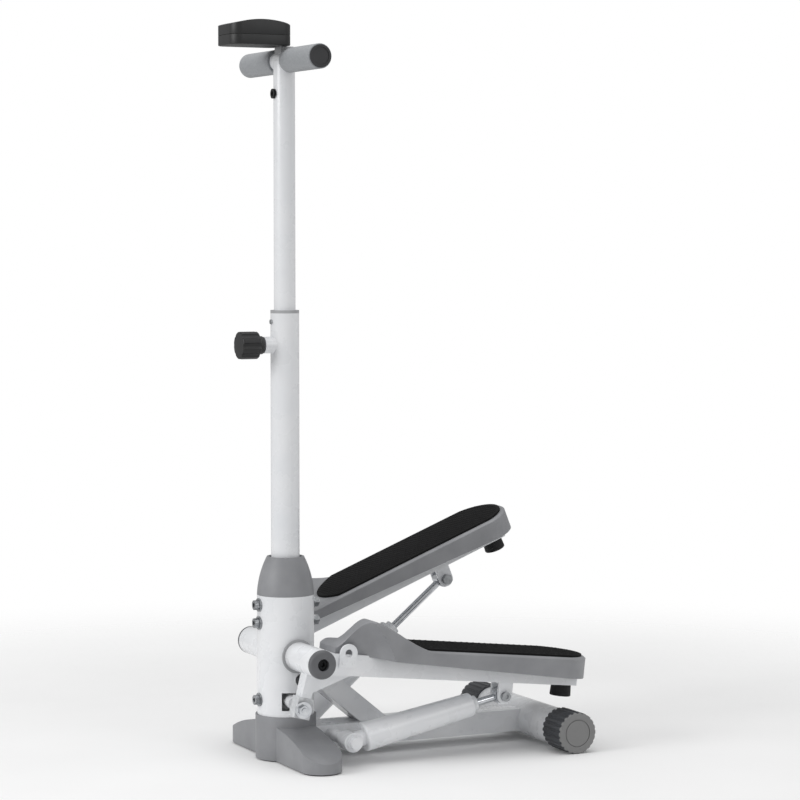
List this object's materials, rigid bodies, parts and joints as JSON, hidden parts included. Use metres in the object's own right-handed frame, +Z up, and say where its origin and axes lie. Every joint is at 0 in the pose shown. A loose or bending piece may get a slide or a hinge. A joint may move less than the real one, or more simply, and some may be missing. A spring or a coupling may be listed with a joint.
{
  "type": "mini stair stepper",
  "caption": "Mini stair stepper: two hydraulic pedals on a white steel base, linked by a rocker, with a telescoping mast, T-handle and step monitor.",
  "frame": {"origin": "floor level, under the middle of the whole object's bounding box", "axes": "+Z up, -Y towards the mast and the user's front, +X to the user's left"},
  "size_m": [0.3, 0.4885, 0.9776],
  "materials": {
    "white_paint": "gloss",
    "grey_plastic": "satin",
    "dark_plastic": "satin",
    "cap_plastic": "satin",
    "black_plastic": "satin",
    "display_lens": "gloss",
    "mat_rubber": "matte",
    "stop_rubber": "matte",
    "grip_foam": "matte",
    "chrome": "gloss",
    "bright_steel": "satin",
    "cast_knuckle": "satin",
    "bush_plastic": "satin",
    "black_fastener": "satin"
  },
  "bodies": {
    "base": {"front_foot_cover": "grey_plastic", "foot_pads": "stop_rubber", "column_tube": "white_paint", "column_collar": "grey_plastic", "mast_bolts": "bright_steel", "main_beam": "white_paint", "beam_brace": "white_paint", "rear_crossbar": "white_paint", "left_rear_cap": "dark_plastic", "right_rear_cap": "dark_plastic", "pivot_axle": "bright_steel", "pivot_shims": "bush_plastic", "axle_end_bolts": "black_fastener", "damper_axle": "bright_steel", "damper_axle_nuts": "white_paint", "rocker_bracket": "bright_steel", "rocker_bracket_bolt": "bright_steel", "rocker_pin": "bright_steel", "lower_mast": "white_paint", "mast_bushing": "bush_plastic", "bushing_screw": "bright_steel"},
    "left_pedal": {"left_pedal_arm": "white_paint", "left_hub_bushes": "bush_plastic", "left_hub_cap": "cap_plastic", "left_knuckle": "cast_knuckle", "left_band_hook": "white_paint", "left_pedal_shell": "grey_plastic", "left_pedal_mat": "mat_rubber", "left_stopper": "stop_rubber", "left_clevis_bolt": "bright_steel"},
    "right_pedal": {"right_pedal_arm": "white_paint", "right_hub_bushes": "bush_plastic", "right_hub_cap": "cap_plastic", "right_knuckle": "cast_knuckle", "right_band_hook": "white_paint", "right_pedal_shell": "grey_plastic", "right_pedal_mat": "mat_rubber", "right_stopper": "stop_rubber", "right_clevis_bolt": "bright_steel"},
    "rocker": {"rocker_beam": "white_paint", "rocker_studs": "chrome"},
    "left_damper": {"left_damper_tube": "white_paint", "left_damper_gland": "bush_plastic"},
    "left_rod": {"left_damper_rod": "chrome"},
    "right_damper": {"right_damper_tube": "white_paint", "right_damper_gland": "bush_plastic"},
    "right_rod": {"right_damper_rod": "chrome"},
    "mast_post": {"upper_mast": "white_paint", "handle_screw": "bright_steel", "left_grip": "grip_foam", "right_grip": "grip_foam", "grip_plugs": "dark_plastic", "monitor_bracket": "bush_plastic", "monitor_case_lower": "black_plastic", "monitor_case_upper": "black_plastic", "monitor_lens": "display_lens"},
    "lock_spindle": {"lock_spindle": "chrome"},
    "lock_knob": {"lock_knob": "black_plastic"},
    "monitor_button": {"monitor_button": "dark_plastic"}
  },
  "joints": [
    {"name": "left_pedal_swing", "type": "hinge", "parent": "base", "child": "left_pedal", "pos_m": [0.087, -0.1592, 0.1415], "axis": [1, 0, 0], "range_deg": [-2.4, 30.6]},
    {"name": "right_pedal_swing", "type": "hinge", "parent": "base", "child": "right_pedal", "pos_m": [-0.087, -0.1592, 0.1415], "axis": [1, 0, 0], "range_deg": [-30.6, 2.4]},
    {"name": "rocker_turn", "type": "hinge", "parent": "base", "child": "rocker", "pos_m": [0, -0.1592, 0.0803], "axis": [0, 0, 1], "range_deg": [-1.69, 21.39]},
    {"name": "left_damper_tilt", "type": "hinge", "parent": "base", "child": "left_damper", "pos_m": [0.087, -0.1042, 0.0315], "axis": [1, 0, 0], "range_deg": [-2.46, 31.19]},
    {"name": "left_damper_stroke", "type": "slide", "parent": "left_damper", "child": "left_rod", "axis": [0, 0.9803, 0.1974], "range_m": [-0.00509, 0.06474]},
    {"name": "right_damper_tilt", "type": "hinge", "parent": "base", "child": "right_damper", "pos_m": [-0.087, -0.1042, 0.0315], "axis": [1, 0, 0], "range_deg": [-30.45, 2.4]},
    {"name": "right_damper_stroke", "type": "slide", "parent": "right_damper", "child": "right_rod", "axis": [0, 0.7682, 0.6402], "range_m": [-0.06506, 0.00511]},
    {"name": "mast_height", "type": "slide", "parent": "base", "child": "mast_post", "axis": [0, 0, 1], "range_m": [0, 0.15]},
    {"name": "spindle_travel", "type": "slide", "parent": "base", "child": "lock_spindle", "axis": [0, -1, 0], "range_m": [0, 0.002]},
    {"name": "knob_turn", "type": "hinge", "parent": "lock_spindle", "child": "lock_knob", "pos_m": [0, -0.1902, 0.552], "axis": [0, -1, 0], "range_deg": [0, 360]},
    {"name": "button_press", "type": "slide", "parent": "mast_post", "child": "monitor_button", "axis": [0, 0, -1], "range_m": [0, 0.0015], "stiffness_N_per_m": 500, "springref_m": -0.001}
  ],
  "couplings": [
    {"joint": "right_pedal_swing", "follows": "left_pedal_swing", "ratio": -1},
    {"joint": "rocker_turn", "follows": "left_pedal_swing", "ratio": 0.6987},
    {"joint": "left_damper_tilt", "follows": "left_pedal_swing", "ratio": 1.0188},
    {"joint": "left_damper_stroke", "follows": "left_pedal_swing", "m_per_rad": 0.1212},
    {"joint": "right_damper_tilt", "follows": "left_pedal_swing", "ratio": -0.9948},
    {"joint": "right_damper_stroke", "follows": "left_pedal_swing", "m_per_rad": -0.1218},
    {"joint": "knob_turn", "follows": "spindle_travel", "rad_per_m": 3141.6}
  ]
}
